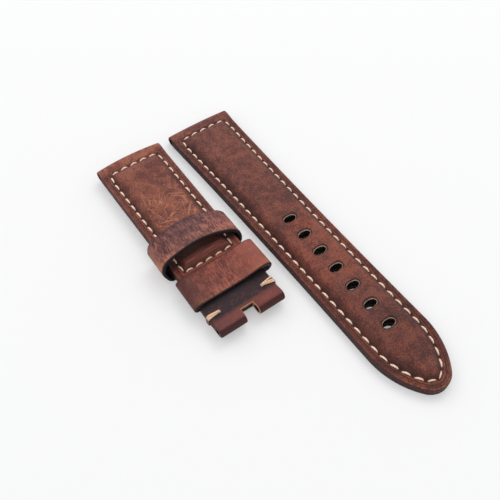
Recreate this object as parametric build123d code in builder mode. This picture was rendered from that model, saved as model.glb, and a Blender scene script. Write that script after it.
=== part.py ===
from build123d import *
import os
from collections import namedtuple
from math import atan2, degrees

# A two-piece padded leather watch strap lying on a table: the buckle half with its two keepers
# on the left, the tail half with its adjustment holes on the right. Millimetres, +Z up, +Y from
# the buckle and the tip towards the lug ends. Each half is laid out from its own lug end.

# Leather and padding, by thickness
lining_thickness = 1.2
reinforcement_thickness = 0.4
filler_thickness = 2.0
upper_thickness = 1.4
pad_crown = 0.8
pad_round = 1.0
pad_corner_radius = 2.2
filler_round = 0.4
edge_bevel = 0.35

# Widths and lengths of the two halves
lug_width = 24.0
buckle_width = 22.0
tail_waist_width = 21.4
tail_end_width = 20.6
tail_half_length = 123.0
waist_distance = 50.0
tip_length = 18.0
nose_radius = 6.0

# How the halves lie beside each other
half_spacing = 28.6
tail_lead = 1.5

# Spring bar loops and the buckle bar roll
lug_thickness = 3.8
lug_bar_bore = 2.0
lug_flap_length = 12.0
lining_setback = 3.3
roll_thickness = 3.6
roll_slope_length = 1.4
buckle_bar_bore = 2.0
tongue_slot_width = 4.3
tongue_slot_depth = 4.0

# Seams
seam_setback = 4.5
seam_margin = 2.6
lug_corner_radius = 1.8
box_corner_radius = 0.8
box_seam_length = 47.8
stitch_pitch = 3.5
thread_width = 0.8
thread_height = 0.55
thread_dip_share = 0.4
thread_ramp_share = 0.14
strand_radius = 0.28
awl_radius = 0.36
bend_share = 0.01
groove_width = 1.2
top_groove_depth = 0.4
bottom_groove_depth = 0.6

# Adjustment holes
hole_count = 7
hole_pitch = 7.52
last_hole_setback = 21.88
hole_across = 5.3
hole_along = 3.0

# Keepers
keeper_wall = 1.3
slide_clearance = 0.2
keeper_gap = 4.2
free_keeper_width = 9.4
free_keeper_half_span = 13.8
free_keeper_height = 12.2
free_keeper_shoulder = 5.0
free_keeper_corner = 1.9
fixed_keeper_gap = 2.1
fixed_keeper_width = 10.9
fixed_keeper_overhang = 2.6
fixed_keeper_corner = 1.5
fixed_keeper_inner_corner = 0.5
keeper_arch_rise = 0.65
keeper_rim_clearance = 0.15
pocket_height = 0.8
lap_length = 8.0
lap_kerf = 0.06

# Bar tacks at the buckle end
tack_gap = 4.0
tack_setback = 6.7
tack_hole_offset = 7.2
tack_hole_radius = 0.65
tack_strand_radius = 0.55
tack_width = 1.4
tack_thickness = 0.55
tack_edge_clearance = 0.05
tack_round_share = 0.8

# One overrun serves every cut that has to pass right through
overrun = 2.0

# Levels above the underside of a half
reinforcement_top = lining_thickness + reinforcement_thickness
rim_top = reinforcement_top + upper_thickness
pad_top = rim_top + filler_thickness
groove_floor = rim_top - top_groove_depth
lock_level = lining_thickness + reinforcement_thickness / 2

# Distances from the buckle half's lug end, each piece following the one before it
box_end = seam_setback + box_seam_length
fixed_keeper_distance = box_end + fixed_keeper_gap
free_keeper_distance = fixed_keeper_distance - keeper_gap - free_keeper_width
tack_distance = fixed_keeper_distance + fixed_keeper_width + tack_gap
buckle_half_length = tack_distance + tack_setback
tab_start = box_end - seam_margin

# The fixed keeper stands out past the buckle half's edges, however wide its buckle is
fixed_keeper_half_span = buckle_width / 2 + fixed_keeper_overhang

# Distances from the lug ends
first_hole_distance = tail_half_length - last_hole_setback - (hole_count - 1) * hole_pitch
lug_block_length = seam_setback - groove_width / 2

# The buckle half rides on the free keeper's lower strand, the tail half lies flat
strap_lift = keeper_wall + slide_clearance
overall_width = free_keeper_half_span + half_spacing + lug_width / 2
buckle_x = free_keeper_half_span - overall_width / 2
tail_x = buckle_x + half_spacing
tail_seat = Vector(tail_x, tail_half_length / 2, 0)
buckle_seat = Vector(buckle_x, tail_half_length / 2 - tail_lead, strap_lift)
table_seat = Vector(buckle_x, tail_half_length / 2 - tail_lead, 0)


def level(seat, height=0.0):
    """A horizontal plane over a half's lug end, at a height above its underside."""
    return Plane(origin=seat + Vector(0, 0, height))


def section(seat, distance=0.0):
    """A plane across a half at a distance from its lug end, facing the tip."""
    return Plane(origin=seat - Vector(0, distance, 0), x_dir=(1, 0, 0), z_dir=(0, -1, 0))


def lengthwise(seat, offset=0.0):
    """A plane along a half's centreline, facing +X."""
    return Plane(origin=seat + Vector(offset, 0, 0), x_dir=(0, 1, 0), z_dir=(1, 0, 0))


def draw_buckle_edge():
    """The buckle half's cut edge: a straight taper from the lugs to the buckle."""
    Polyline(
        (lug_width / 2, 0),
        (buckle_width / 2, -buckle_half_length),
        (-buckle_width / 2, -buckle_half_length),
        (-lug_width / 2, 0),
        close=True,
    )


def draw_tail_edge():
    """The tail half's cut edge: a slack curve in to the shoulder, then a pointed arch of three arcs."""
    half = tail_end_width / 2
    shoulder_y = tip_length - tail_half_length
    side_radius = (half**2 + tip_length**2 - 2 * tip_length * nose_radius) / (2 * (half - nose_radius))
    side_centre = Vector(half - side_radius, shoulder_y)
    nose_centre = Vector(0, nose_radius - tail_half_length)
    meeting = nose_centre + (nose_centre - side_centre).normalized() * nose_radius
    side_middle = side_centre + ((Vector(half, shoulder_y) + meeting) / 2 - side_centre).normalized() * side_radius
    for side in (1, -1):
        ThreePointArc(
            (side * lug_width / 2, 0),
            (side * tail_waist_width / 2, -waist_distance),
            (side * half, shoulder_y),
        )
        ThreePointArc(
            (side * half, shoulder_y),
            (side * side_middle.X, side_middle.Y),
            (side * meeting.X, meeting.Y),
        )
    ThreePointArc((meeting.X, meeting.Y), (0, -tail_half_length), (-meeting.X, meeting.Y))
    Line((-lug_width / 2, 0), (lug_width / 2, 0))


def outline(draw_edge, plane, start=0.0, stop=None):
    """The leather's outline on a plane, from one distance behind the lug end to another."""
    with BuildSketch(plane) as shape:
        with BuildLine():
            draw_edge()
        make_face()
        if start:
            with Locations((0, -start)):
                Rectangle(2 * lug_width, 2 * start, align=(Align.CENTER, Align.MIN), mode=Mode.SUBTRACT)
        if stop:
            with Locations((0, -stop)):
                Rectangle(2 * lug_width, 2 * tail_half_length, align=(Align.CENTER, Align.MAX), mode=Mode.SUBTRACT)
    return shape.sketch


Half = namedtuple("Half", "draw_edge seat length seam_stop")
buckle_half = Half(draw_buckle_edge, buckle_seat, buckle_half_length, box_end + seam_margin)
tail_half = Half(draw_tail_edge, tail_seat, tail_half_length, None)


def inner_face(half, plane, inset, lug_corner, box_corner):
    """The area a given distance inside the edge, from the seam across the lug end onwards."""
    with BuildSketch(plane) as shape:
        add(outline(half.draw_edge, Plane.XY, seam_setback - seam_margin, half.seam_stop))
        offset(amount=-inset, kind=Kind.INTERSECTION)
        fillet(shape.vertices().group_by(Axis.Y)[-1], lug_corner)
        if half.seam_stop:
            fillet(shape.vertices().group_by(Axis.Y)[0], box_corner)
    return shape.sketch


def seam_face(half, plane, spread=0.0):
    """The area inside the seam line, made larger or smaller by a spread."""
    return inner_face(half, plane, seam_margin - spread, lug_corner_radius + spread, box_corner_radius + spread)


def pad_face(half, plane, inset=0.0):
    """The area of the padding, up to the seam's groove."""
    corner = pad_corner_radius - inset
    return inner_face(half, plane, seam_margin + groove_width / 2 + inset, corner, corner)


def stitch_places(half):
    """Each stitch of a half's closed seam: where it starts and points, its length, and if it cuts a bend.

    There is an awl hole at every corner and the rest are spaced evenly between them.
    """
    wire = seam_face(half, Plane.XY).wires()[0]
    bends = [edge for edge in wire.edges().filter_by(GeomType.CIRCLE) if edge.radius <= lug_corner_radius]
    marks = sorted(wire.param_at_point(edge @ 0.5) for edge in bends)
    places = []
    for start, stop in zip(marks, marks[1:] + [marks[0] + 1]):
        count = round((stop - start) * wire.length / stitch_pitch)
        step = (stop - start) / count
        for index in range(count):
            here = wire.position_at((start + index * step) % 1)
            there = wire.position_at((start + (index + 1) * step) % 1)
            run = there - here
            place = Location((here.X, here.Y, 0), (0, 0, degrees(atan2(run.Y, run.X))))
            places.append((place, run.length, run.length < (1 - bend_share) * step * wire.length))
    return places


def groove_face(half, plane):
    """The groove along a seam, with room for the straight stitches that cut its bends."""
    with BuildSketch(plane) as shape:
        add(seam_face(half, Plane.XY, groove_width / 2))
        add(seam_face(half, Plane.XY, -groove_width / 2), mode=Mode.SUBTRACT)
        for place, length, bent in stitch_places(half):
            if bent:
                with Locations(place * Location((length / 2, 0, 0))):
                    SlotCenterToCenter(length, groove_width)
    return shape.sketch


def crown_face(seat, crest):
    """A cross-section as wide as the lugs whose top bows up to a crest."""
    with BuildSketch(section(seat)) as shape:
        with BuildLine():
            ThreePointArc((-lug_width / 2, crest - pad_crown), (0, crest), (lug_width / 2, crest - pad_crown))
            Polyline(
                (lug_width / 2, crest - pad_crown),
                (lug_width / 2, 0),
                (-lug_width / 2, 0),
                (-lug_width / 2, crest - pad_crown),
            )
        make_face()
    return shape.sketch


def make_seam_void(half):
    """The grooves over and under a seam and the awl holes between them."""
    with BuildPart() as void:
        extrude(groove_face(half, level(half.seat, groove_floor)), amount=overrun)
        extrude(groove_face(half, level(half.seat, bottom_groove_depth)), amount=-overrun)
        with BuildSketch(level(half.seat, bottom_groove_depth)):
            with Locations(*[place for place, _, _ in stitch_places(half)]):
                Circle(awl_radius)
        extrude(amount=groove_floor - bottom_groove_depth)
    return void.part


def make_stitch(length, leg):
    """One stitch: a bar that dips at both ends, with the strand that goes down its awl hole."""
    dip = thread_height * thread_dip_share
    ramp = length * thread_ramp_share
    with BuildPart() as stitch:
        with BuildSketch(Plane.XZ):
            with BuildLine():
                Polyline(
                    (0, 0),
                    (length, 0),
                    (length, dip),
                    (length - ramp, thread_height),
                    (ramp, thread_height),
                    (0, dip),
                    close=True,
                )
            make_face()
        extrude(amount=thread_width / 2, both=True)
        Cylinder(thread_width / 2, dip, align=(Align.CENTER, Align.CENTER, Align.MIN))
        Cylinder(strand_radius, leg, align=(Align.CENTER, Align.CENTER, Align.MAX))
    return stitch.part


def lay_thread(half, stitch, height):
    """Lay a copy of one stitch at every awl hole of a seam."""
    with Locations(half.seat + Vector(0, 0, height)):
        with Locations(*[place for place, _, _ in stitch_places(half)]):
            add(stitch)


def raise_pad(half, inset, rounding):
    """A crowned pad that stands a given distance inside the seam's groove and under the pad's top."""
    extrude(pad_face(half, level(half.seat, reinforcement_top), inset), amount=pad_top)
    extrude(crown_face(half.seat, pad_top - inset), amount=half.length, mode=Mode.INTERSECT)
    fillet(faces().sort_by(Axis.Z)[-1].edges(), rounding)


def lug_profile(seat):
    """Side view of the leather wrapped round the spring bar and tucked back over the lining."""
    radius = lug_thickness / 2
    with BuildSketch(lengthwise(seat)) as shape:
        with BuildLine():
            ThreePointArc((-radius, 0), (0, radius), (-radius, lug_thickness))
            Polyline(
                (-radius, lug_thickness),
                (-lug_block_length, rim_top),
                (-lug_flap_length, rim_top),
                (-lug_flap_length, lining_thickness),
                (-lining_setback, lining_thickness),
                (-lining_setback, 0),
                (-radius, 0),
            )
        make_face()
    return shape.sketch


def roll_profile(seat):
    """Side view of the leather rolled round the buckle bar and folded back as the tab."""
    radius = roll_thickness / 2
    end = -buckle_half_length
    with BuildSketch(lengthwise(seat)) as shape:
        with BuildLine():
            ThreePointArc((end + radius, 0), (end, radius), (end + radius, roll_thickness))
            Polyline(
                (end + radius, roll_thickness),
                (end + roll_thickness + roll_slope_length, rim_top),
                (-tab_start, rim_top),
                (-tab_start, 0),
                (end + radius, 0),
            )
        make_face()
    return shape.sketch


def make_ends(half, profiles):
    """The turned ends of the upper leather, as wide as the half where they lie."""
    with BuildPart() as ends:
        for profile in profiles:
            extrude(profile, amount=lug_width, both=True)
        trim = outline(half.draw_edge, level(half.seat, -overrun))
        extrude(trim, amount=lug_thickness + 2 * overrun, mode=Mode.INTERSECT)
    return ends.part


def make_rim(half):
    """The flat of the upper leather over the whole half, with its cut edge bevelled."""
    with BuildPart() as rim:
        face = outline(half.draw_edge, level(half.seat, reinforcement_top), lug_block_length)
        extrude(face, amount=upper_thickness)
        chamfer(rim.faces().sort_by(Axis.Z)[-1].edges(), edge_bevel)
    return rim.part


def cut_bar_bore(half, distance, height, diameter):
    """Bore the leather from edge to edge for a spring bar or a buckle bar."""
    with BuildSketch(lengthwise(half.seat)) as circle:
        with Locations((-distance, height)):
            Circle(diameter / 2)
    extrude(circle.sketch, amount=lug_width, both=True, mode=Mode.SUBTRACT)


def lay_sheet(half, low, thickness, start, stop):
    """A flat layer of a half between two distances from its lug end."""
    extrude(outline(half.draw_edge, level(half.seat, low), start, stop), amount=thickness)


def cut_oval_holes(half):
    """Cut the row of oval adjustment holes through every layer in the current piece."""
    with BuildSketch(level(half.seat)) as holes:
        with Locations(*[(0, -first_hole_distance - index * hole_pitch) for index in range(hole_count)]):
            Ellipse(hole_across / 2, hole_along / 2)
    extrude(holes.sketch, amount=pad_top, mode=Mode.SUBTRACT)


def fixed_keeper_faces():
    """The fixed keeper's outer and inner outline, with its lower strand in the pocket."""
    strand_low = lining_thickness
    inner_low = strand_low + pocket_height
    inner_shoulder = rim_top + keeper_rim_clearance
    faces = []
    for half, low, shoulder, corner in (
        (fixed_keeper_half_span, strand_low, inner_shoulder + keeper_wall, fixed_keeper_corner),
        (fixed_keeper_half_span - keeper_wall, inner_low, inner_shoulder, fixed_keeper_inner_corner),
    ):
        with BuildSketch(section(buckle_seat, fixed_keeper_distance)) as shape:
            with BuildLine():
                ThreePointArc((-half, shoulder), (0, shoulder + keeper_arch_rise), (half, shoulder))
                Polyline((half, shoulder), (half, low), (-half, low), (-half, shoulder))
            make_face()
            fillet(shape.vertices(), corner)
        faces.append(shape.sketch)
    return faces


def free_keeper_faces():
    """The free keeper's outer and inner outline: a flat foot under the strap and a high arch."""
    faces = []
    for inset, corner in ((0, free_keeper_corner), (keeper_wall, free_keeper_corner - keeper_wall)):
        half = free_keeper_half_span - inset
        with BuildSketch(section(table_seat, free_keeper_distance)) as shape:
            with Locations((0, free_keeper_shoulder)):
                Ellipse(half, free_keeper_height - free_keeper_shoulder - inset)
                Rectangle(2 * half, free_keeper_height, align=(Align.CENTER, Align.MAX), mode=Mode.SUBTRACT)
            with Locations((0, inset)):
                Rectangle(2 * half, free_keeper_shoulder - inset, align=(Align.CENTER, Align.MIN))
            fillet(shape.vertices().group_by(Axis.Z)[0], corner)
        faces.append(shape.sketch)
    return faces


def lap_kerf_face(plane, low, thickness):
    """The stepped line along which a keeper's two skived ends lie over each other."""
    middle = low + thickness / 2
    with BuildSketch(plane) as shape:
        with Locations((-lap_length / 2, middle)):
            Rectangle(lap_kerf, thickness, align=(Align.CENTER, Align.MIN))
        with Locations((0, middle)):
            Rectangle(lap_length + lap_kerf, lap_kerf)
        with Locations((lap_length / 2, middle)):
            Rectangle(lap_kerf, thickness, align=(Align.CENTER, Align.MAX))
    return shape.sketch


def tie_bar_tack(side):
    """A thread tied round one edge of the strap and through a hole, closing the roll."""
    edge = lug_width / 2 - (lug_width - buckle_width) / 2 * tack_distance / buckle_half_length
    inner = edge + tack_edge_clearance
    outer = inner + tack_thickness
    with BuildSketch(section(buckle_seat, tack_distance)) as strand:
        with BuildLine():
            Polyline(
                (side * tack_hole_offset, rim_top),
                (side * tack_hole_offset, rim_top + tack_thickness),
                (side * outer, rim_top + tack_thickness),
                (side * outer, -tack_thickness),
                (side * tack_hole_offset, -tack_thickness),
                (side * tack_hole_offset, 0),
                (side * inner, 0),
                (side * inner, rim_top),
                close=True,
            )
        make_face()
    extrude(strand.sketch, amount=tack_width / 2, both=True)
    fillet(edges().filter_by(Axis.Y).group_by(Axis.X)[-1 if side > 0 else 0], tack_thickness * tack_round_share)
    with BuildSketch(level(buckle_seat, -tack_thickness)) as knots:
        with Locations((side * tack_hole_offset, -tack_distance)):
            Circle(tack_width / 2)
    extrude(knots.sketch, amount=tack_thickness)
    extrude(knots.sketch.moved(Location((0, 0, rim_top + tack_thickness))), amount=tack_thickness)
    with BuildSketch(level(buckle_seat, -tack_thickness)) as strand_in_hole:
        with Locations((side * tack_hole_offset, -tack_distance)):
            Circle(tack_strand_radius)
    extrude(strand_in_hole.sketch, amount=rim_top + 2 * tack_thickness)


# The buckle half: the pad's filling, then the leather shaped round it, turned back at the lug
# end round the spring bar and at the other end round the buckle's bar
buckle_void = make_seam_void(buckle_half)
buckle_rim = make_rim(buckle_half)
buckle_ends = make_ends(buckle_half, (lug_profile(buckle_seat), roll_profile(buckle_seat)))

with BuildPart() as buckle_half_filler:
    raise_pad(buckle_half, upper_thickness, filler_round)

with BuildPart() as buckle_half_upper:
    raise_pad(buckle_half, 0, pad_round)
    add(buckle_rim)
    add(buckle_ends)
    add(buckle_half_filler.part, mode=Mode.SUBTRACT)
    add(buckle_void, mode=Mode.SUBTRACT)
    cut_bar_bore(buckle_half, lug_thickness / 2, lug_thickness / 2, lug_bar_bore)
    cut_bar_bore(buckle_half, buckle_half_length - roll_thickness / 2, roll_thickness / 2, buckle_bar_bore)
    # The slot for the buckle's tongue
    with BuildSketch(level(buckle_seat, -overrun)):
        with Locations((0, -buckle_half_length)):
            Rectangle(tongue_slot_width, 2 * tongue_slot_depth)
    extrude(amount=roll_thickness + 2 * overrun, mode=Mode.SUBTRACT)
    # The pocket between the tab and the leather above it, where the fixed keeper's strand lies
    with BuildSketch(section(buckle_seat, fixed_keeper_distance)):
        with Locations((0, lining_thickness)):
            Rectangle(2 * lug_width, pocket_height, align=(Align.CENTER, Align.MIN))
    extrude(amount=fixed_keeper_width, mode=Mode.SUBTRACT)
    # The holes of the two bar tacks
    with BuildSketch(level(buckle_seat, -overrun)):
        with Locations((-tack_hole_offset, -tack_distance), (tack_hole_offset, -tack_distance)):
            Circle(tack_hole_radius)
    extrude(amount=rim_top + 2 * overrun, mode=Mode.SUBTRACT)

with BuildPart() as buckle_half_lining:
    lay_sheet(buckle_half, 0, lining_thickness, lining_setback, tab_start)
    add(buckle_void, mode=Mode.SUBTRACT)

with BuildPart() as buckle_half_reinforcement:
    lay_sheet(buckle_half, lining_thickness, reinforcement_thickness, lug_flap_length, tab_start)
    add(buckle_void, mode=Mode.SUBTRACT)

# Both threads of a lockstitch: each comes in from its own face and they lock between the layers
longest_buckle_stitch = max(length for _, length, _ in stitch_places(buckle_half))
buckle_top_stitch = make_stitch(longest_buckle_stitch, groove_floor - lock_level)
buckle_bottom_stitch = make_stitch(longest_buckle_stitch, lock_level - bottom_groove_depth).mirror(Plane.XY)

with BuildPart() as buckle_half_top_thread:
    lay_thread(buckle_half, buckle_top_stitch, groove_floor)

with BuildPart() as buckle_half_bottom_thread:
    lay_thread(buckle_half, buckle_bottom_stitch, bottom_groove_depth)

with BuildPart() as bar_tack_left:
    tie_bar_tack(-1)

with BuildPart() as bar_tack_right:
    tie_bar_tack(1)

# The tail half, whose adjustment holes go through every layer
tail_void = make_seam_void(tail_half)
tail_rim = make_rim(tail_half)
tail_ends = make_ends(tail_half, (lug_profile(tail_seat),))

with BuildPart() as tail_half_filler:
    raise_pad(tail_half, upper_thickness, filler_round)
    tail_cavity = tail_half_filler.part
    cut_oval_holes(tail_half)

with BuildPart() as tail_half_upper:
    raise_pad(tail_half, 0, pad_round)
    add(tail_rim)
    add(tail_ends)
    add(tail_cavity, mode=Mode.SUBTRACT)
    add(tail_void, mode=Mode.SUBTRACT)
    cut_bar_bore(tail_half, lug_thickness / 2, lug_thickness / 2, lug_bar_bore)
    cut_oval_holes(tail_half)

with BuildPart() as tail_half_lining:
    lay_sheet(tail_half, 0, lining_thickness, lining_setback, None)
    add(tail_void, mode=Mode.SUBTRACT)
    cut_oval_holes(tail_half)

with BuildPart() as tail_half_reinforcement:
    lay_sheet(tail_half, lining_thickness, reinforcement_thickness, lug_flap_length, None)
    add(tail_void, mode=Mode.SUBTRACT)
    cut_oval_holes(tail_half)

longest_tail_stitch = max(length for _, length, _ in stitch_places(tail_half))
tail_top_stitch = make_stitch(longest_tail_stitch, groove_floor - lock_level)
tail_bottom_stitch = make_stitch(longest_tail_stitch, lock_level - bottom_groove_depth).mirror(Plane.XY)

with BuildPart() as tail_half_top_thread:
    lay_thread(tail_half, tail_top_stitch, groove_floor)

with BuildPart() as tail_half_bottom_thread:
    lay_thread(tail_half, tail_bottom_stitch, bottom_groove_depth)

# The fixed keeper, closed by a glued lap inside the strap
fixed_outer, fixed_inner = fixed_keeper_faces()
fixed_kerf = lap_kerf_face(section(buckle_seat, fixed_keeper_distance), lining_thickness, pocket_height)

with BuildPart() as fixed_keeper:
    extrude(fixed_outer, amount=fixed_keeper_width)
    extrude(fixed_inner, amount=fixed_keeper_width, mode=Mode.SUBTRACT)
    extrude(fixed_kerf, amount=fixed_keeper_width, mode=Mode.SUBTRACT)

# The free keeper, closed by a glued lap under the strap
free_outer, free_inner = free_keeper_faces()
free_kerf = lap_kerf_face(section(table_seat, free_keeper_distance), 0, keeper_wall)

with BuildPart() as free_keeper:
    extrude(free_outer, amount=free_keeper_width)
    extrude(free_inner, amount=free_keeper_width, mode=Mode.SUBTRACT)
    extrude(free_kerf, amount=free_keeper_width, mode=Mode.SUBTRACT)

buckle_half_upper.part.label = "buckle_half_upper"
buckle_half_filler.part.label = "buckle_half_filler"
buckle_half_lining.part.label = "buckle_half_lining"
buckle_half_reinforcement.part.label = "buckle_half_reinforcement"
buckle_half_top_thread.part.label = "buckle_half_top_thread"
buckle_half_bottom_thread.part.label = "buckle_half_bottom_thread"
bar_tack_left.part.label = "bar_tack_left"
bar_tack_right.part.label = "bar_tack_right"
fixed_keeper.part.label = "fixed_keeper"
free_keeper.part.label = "free_keeper"
tail_half_upper.part.label = "tail_half_upper"
tail_half_filler.part.label = "tail_half_filler"
tail_half_lining.part.label = "tail_half_lining"
tail_half_reinforcement.part.label = "tail_half_reinforcement"
tail_half_top_thread.part.label = "tail_half_top_thread"
tail_half_bottom_thread.part.label = "tail_half_bottom_thread"

os.makedirs("parts", exist_ok=True)
export_step(buckle_half_upper.part, "parts/buckle_half_upper.step")
export_step(buckle_half_filler.part, "parts/buckle_half_filler.step")
export_step(buckle_half_lining.part, "parts/buckle_half_lining.step")
export_step(buckle_half_reinforcement.part, "parts/buckle_half_reinforcement.step")
export_step(buckle_half_top_thread.part, "parts/buckle_half_top_thread.step")
export_step(buckle_half_bottom_thread.part, "parts/buckle_half_bottom_thread.step")
export_step(bar_tack_left.part, "parts/bar_tack_left.step")
export_step(bar_tack_right.part, "parts/bar_tack_right.step")
export_step(fixed_keeper.part, "parts/fixed_keeper.step")
export_step(free_keeper.part, "parts/free_keeper.step")
export_step(tail_half_upper.part, "parts/tail_half_upper.step")
export_step(tail_half_filler.part, "parts/tail_half_filler.step")
export_step(tail_half_lining.part, "parts/tail_half_lining.step")
export_step(tail_half_reinforcement.part, "parts/tail_half_reinforcement.step")
export_step(tail_half_top_thread.part, "parts/tail_half_top_thread.step")
export_step(tail_half_bottom_thread.part, "parts/tail_half_bottom_thread.step")
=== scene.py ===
from math import atan2, cos, hypot, pi, radians, sin

import bmesh
import bpy
import numpy as np
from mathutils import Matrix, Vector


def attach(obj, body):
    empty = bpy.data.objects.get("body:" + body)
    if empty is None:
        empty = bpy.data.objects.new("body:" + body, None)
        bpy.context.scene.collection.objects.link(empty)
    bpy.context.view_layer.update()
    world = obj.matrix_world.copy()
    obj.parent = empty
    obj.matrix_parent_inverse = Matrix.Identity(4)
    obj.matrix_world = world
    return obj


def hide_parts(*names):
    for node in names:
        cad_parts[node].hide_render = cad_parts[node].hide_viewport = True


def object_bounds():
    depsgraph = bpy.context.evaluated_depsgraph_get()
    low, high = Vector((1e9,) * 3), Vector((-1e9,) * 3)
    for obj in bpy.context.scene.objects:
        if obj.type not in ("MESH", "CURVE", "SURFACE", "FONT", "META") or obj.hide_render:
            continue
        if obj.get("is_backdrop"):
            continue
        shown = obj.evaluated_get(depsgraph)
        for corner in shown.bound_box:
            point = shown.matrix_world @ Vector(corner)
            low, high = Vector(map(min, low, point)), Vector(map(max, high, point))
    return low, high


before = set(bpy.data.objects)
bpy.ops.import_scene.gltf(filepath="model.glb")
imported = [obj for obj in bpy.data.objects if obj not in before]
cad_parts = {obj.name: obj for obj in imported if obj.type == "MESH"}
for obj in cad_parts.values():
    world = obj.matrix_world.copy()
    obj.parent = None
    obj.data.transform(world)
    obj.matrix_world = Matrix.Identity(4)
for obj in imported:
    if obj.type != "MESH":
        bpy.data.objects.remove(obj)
cad_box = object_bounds()


# The strap lies on a seamless white table under a broad, even window light that comes from above
# and from the far right, so every shadow is soft and falls to the near left. The camera looks down
# on it from the near left.

scene = bpy.context.scene


def placed(name, data):
    """A new object in the scene."""
    made = bpy.data.objects.new(name, data)
    scene.collection.objects.link(made)
    return made


camera = placed("camera", bpy.data.cameras.new("camera"))
camera.data.lens = 41.46
camera.data.clip_start = 0.01
camera.location = (-0.055386, -0.081307, 0.146660)
camera.rotation_euler = (radians(35.0648), radians(1.6355), radians(-34.8286))
scene.camera = camera
scene.view_settings.view_transform = "Standard"

sky_level, room_level = 0.79, 0.98
daylight = bpy.data.worlds.new("daylight")
daylight.use_nodes = True
sky = daylight.node_tree.nodes["Background"]
sky.inputs["Color"].default_value = (1, 1, 1, 1)
sky.inputs["Strength"].default_value = sky_level
scene.world = daylight


def window_light(name, place, aim, size, power):
    lamp = bpy.data.lights.new(name, "AREA")
    lamp.shape = "RECTANGLE"
    lamp.size, lamp.size_y = size
    lamp.energy = power
    holder = placed(name, lamp)
    holder.location = place
    reach = np.subtract(aim, place)
    tilt, heading = atan2(hypot(reach[0], reach[1]), -reach[2]), atan2(reach[1], reach[0])
    holder.rotation_euler = (tilt, 0, heading - pi / 2)


window_light("window", place=(0.86, 0.62, 1.26), aim=(0.0, 0.0, 0.0), size=(1.1, 0.8), power=7.0)
window_light("far_window", place=(-0.20, 1.50, 1.10), aim=(0.0, 0.05, 0.0), size=(1.6, 0.6), power=4.1)


class Tone:
    """One output in a finish's node tree, which does sums like a number."""

    def __init__(self, tree, socket=None):
        self.tree, self.socket = tree, socket

    def node(self, kind, settings=None, sockets=None, out=0):
        made = self.tree.nodes.new(kind)
        for name, value in (settings or {}).items():
            if name == "stops":
                elements = made.color_ramp.elements
                while len(elements) < len(value):
                    elements.new(1.0)
                for element, (place, colour) in zip(elements, value):
                    element.position, element.color = place, (*colour, 1)
            else:
                setattr(made, name, value)
        for name, value in (sockets or {}).items():
            if isinstance(value, Tone):
                self.tree.links.new(value.socket, made.inputs[name])
            else:
                made.inputs[name].default_value = value
        return Tone(self.tree, made.outputs[out])

    def sum(self, operation, *values):
        return self.node("ShaderNodeMath", {"operation": operation}, dict(enumerate(values)))

    def __add__(self, other):
        return self.sum("ADD", self, other)

    def __sub__(self, other):
        return self.sum("SUBTRACT", self, other)

    def __rsub__(self, other):
        return self.sum("SUBTRACT", other, self)

    def __mul__(self, other):
        return self.sum("MULTIPLY", self, other)

    __radd__, __rmul__ = __add__, __mul__

    def ease(self, low, high):
        """0 at low and 1 at high, with a soft start and end."""
        sockets = {"Value": self, "From Min": low, "From Max": high}
        return self.node("ShaderNodeMapRange", {"interpolation_type": "SMOOTHSTEP"}, sockets)

    def ramp(self, *stops):
        """The colour at this value, between stops of a value and a colour each."""
        return self.node("ShaderNodeValToRGB", {"stops": stops}, {"Fac": self})

    def toward(self, colour, mask, mode="MIX"):
        """This colour blended into another where the mask is 1."""
        sockets = {0: mask, 6: self, 7: (*colour, 1)}
        return self.node("ShaderNodeMix", {"data_type": "RGBA", "blend_type": mode}, sockets, out=2)

    def measured(self, name):
        """A distance in millimetres that the mesh carries at each point."""
        return self.node("ShaderNodeAttribute", {"attribute_name": name}, out=2)

    def place(self, scale=(1, 1, 1), turn=0.0):
        """The piece's own place in millimetres, turned on the table and stretched."""
        own, millimetres = self.node("ShaderNodeTexCoord", out=3), (1000, 1000, 1000)
        sockets = {"Vector": own, "Rotation": (0, 0, turn), "Scale": millimetres}
        turned = self.node("ShaderNodeMapping", {}, sockets)
        return self.node("ShaderNodeMapping", {}, {"Vector": turned, "Scale": scale})

    def cloud(self, where, size, detail=3.0, roughness=0.55, warp=0.0):
        """Soft patches about a size in millimetres across, from 0 to 1."""
        look = {"Detail": detail, "Roughness": roughness, "Distortion": warp}
        return self.node("ShaderNodeTexNoise", {}, {"Vector": where, "Scale": 1 / size, **look})


def new_finish(name, gloss=0.5):
    """A material, its node tree as a Tone, and its shader."""
    material = bpy.data.materials.new(name)
    material.use_nodes = True
    shader = material.node_tree.nodes["Principled BSDF"]
    shader.inputs["Specular IOR Level"].default_value = gloss
    return material, Tone(material.node_tree), shader


def feed(tone, shader, name):
    tone.tree.links.new(tone.socket, shader.inputs[name])


table, table_half = bpy.data.meshes.new("table"), 1.5
corners = [(table_half * x, table_half * y, 0) for x, y in ((-1, -1), (1, -1), (1, 1), (-1, 1))]
table.from_pydata(corners, [], [(0, 1, 2, 3)])
table_top = placed("table_top", table)
white, start, shader = new_finish("white_table", gloss=0.0)
shader.inputs["Base Color"].default_value = (0.935, 0.937, 0.945, 1)
shader.inputs["Roughness"].default_value = 0.9
# The camera sees the shadow on the table lightened by this share
lightened = 0.3
glow = start.node("ShaderNodeEmission", {}, {"Color": (0.955, 0.957, 0.965, 1), "Strength": 1.0})
seen = start.node("ShaderNodeLightPath") * lightened
lifted = start.node("ShaderNodeMixShader", {}, {0: seen, 1: Tone(start.tree, shader.outputs[0]), 2: glow})
feed(lifted, start.tree.nodes["Material Output"], "Surface")
table.materials.append(white)
table_top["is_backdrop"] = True
# Seen directly, the room beyond the table is as white as the table
room = Tone(daylight.node_tree).node("ShaderNodeLightPath") * (room_level - sky_level) + sky_level
feed(room, sky, "Strength")


# The tail half's upper leather is one piece of waxed pull-up leather, laid over the pad, pressed down
# along the seam, punched with seven oval holes and turned under round the spring bar at its lug end.
# Its cut edge is painted dark.

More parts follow.
